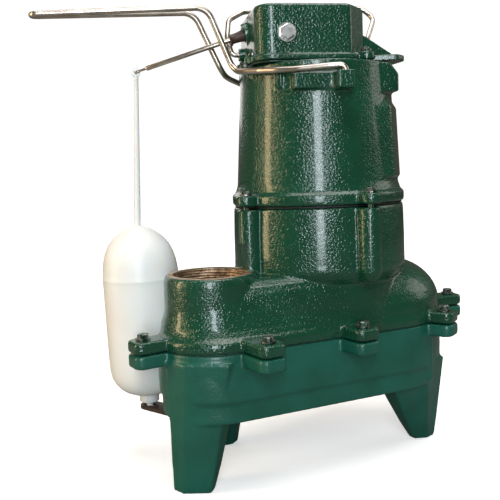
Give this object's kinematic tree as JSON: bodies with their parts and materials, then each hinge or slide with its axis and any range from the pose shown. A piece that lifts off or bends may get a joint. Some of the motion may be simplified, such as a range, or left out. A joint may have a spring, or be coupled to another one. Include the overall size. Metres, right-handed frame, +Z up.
{
  "type": "submersible sump pump",
  "caption": "Submersible sump pump: green cast-iron body on feet, motor housing, vertical discharge, steel guard rod and a float on a hinged arm that works a switch",
  "frame": {"origin": "middle of the whole pump's box, on the floor it stands on", "axes": "+Z up, +X along the base away from the discharge, +Y to the back, the side where the float hangs"},
  "size_m": [0.3676, 0.1928, 0.3925],
  "materials": {
    "painted_gloss": "glossy dark green enamel with a fine orange-peel texture",
    "painted_satin": "satin green enamel over a sand casting",
    "stainless": "drawn stainless rod",
    "zinc": "bright plated steel fasteners",
    "black_rubber": "matte black rubber and gasket sheet",
    "brown_rubber": "dark brown moulded seal boot",
    "brown_plastic": "dark brown moulded plastic",
    "white_plastic": "warm white moulded plastic",
    "black_plastic": "black moulded plastic",
    "copper": "varnished copper winding",
    "iron": "bare iron",
    "machined_steel": "turned steel",
    "ceramic": "lapped ceramic"
  },
  "bodies": {
    "pump_body": {"pump_housing": "painted_gloss", "motor_housing": "painted_gloss", "switch_case": "painted_gloss", "base_casting": "painted_satin", "guard_rod": "stainless", "base_bolt_1": "zinc", "base_bolt_2": "zinc", "base_bolt_3": "zinc", "base_bolt_4": "zinc", "base_bolt_5": "zinc", "base_bolt_6": "zinc", "base_bolt_7": "zinc", "base_bolt_8": "zinc", "base_bolt_9": "zinc", "motor_screw_1": "zinc", "case_screw_1": "zinc", "motor_screw_2": "zinc", "case_screw_2": "zinc", "motor_screw_3": "zinc", "case_screw_3": "zinc", "motor_screw_4": "zinc", "case_screw_4": "zinc", "case_bolt": "zinc", "bracket_screw": "zinc", "base_gasket": "black_rubber", "motor_gasket": "black_rubber", "case_gasket": "black_rubber", "float_bracket": "brown_plastic", "float_switch": "black_plastic", "cord_gland": "black_plastic", "upper_winding": "copper", "lower_winding": "copper", "stator_core": "iron", "upper_bearing": "machined_steel", "lower_bearing": "machined_steel", "seal_seat": "ceramic"},
    "rotor": {"motor_shaft": "machined_steel", "rotor_core": "iron", "impeller": "iron", "impeller_nut": "zinc", "seal_head": "black_rubber", "seal_spring": "machined_steel"},
    "float_arm": {"float_arm": "stainless", "arm_bushing": "brown_rubber", "rod_clip": "zinc"},
    "float": {"float_rod": "white_plastic", "float": "white_plastic"},
    "switch_plunger": {"switch_plunger": "white_plastic"},
    "lift_bail": {"lift_bail": "stainless"}
  },
  "joints": [
    {"name": "rotor_spin", "type": "hinge", "parent": "pump_body", "child": "rotor", "pos_m": [0.03363, -0.00793, 0.2], "axis": [0, 0, 1], "continuous": true},
    {"name": "arm_swing", "type": "hinge", "parent": "pump_body", "child": "float_arm", "pos_m": [-0.02061, 0.01398, 0.3623], "axis": [0.3746, 0.9272, 0], "range_deg": [0, 24]},
    {"name": "float_hang", "type": "hinge", "parent": "float_arm", "child": "float", "pos_m": [-0.10159, 0.0618, 0.334], "axis": [0.3746, 0.9272, 0], "range_deg": [-24, 0]},
    {"name": "plunger_press", "type": "slide", "parent": "pump_body", "child": "switch_plunger", "axis": [0, 0, -1], "range_m": [0, 0.0065]},
    {"name": "bail_swing", "type": "hinge", "parent": "pump_body", "child": "lift_bail", "pos_m": [0.037, 0.00042, 0.347], "axis": [0.9272, -0.3746, 0], "range_deg": [0, 15]}
  ],
  "couplings": [
    {"joint": "float_hang", "follows": "arm_swing", "ratio": -1},
    {"joint": "plunger_press", "follows": "arm_swing", "m_per_rad": 0.015}
  ]
}
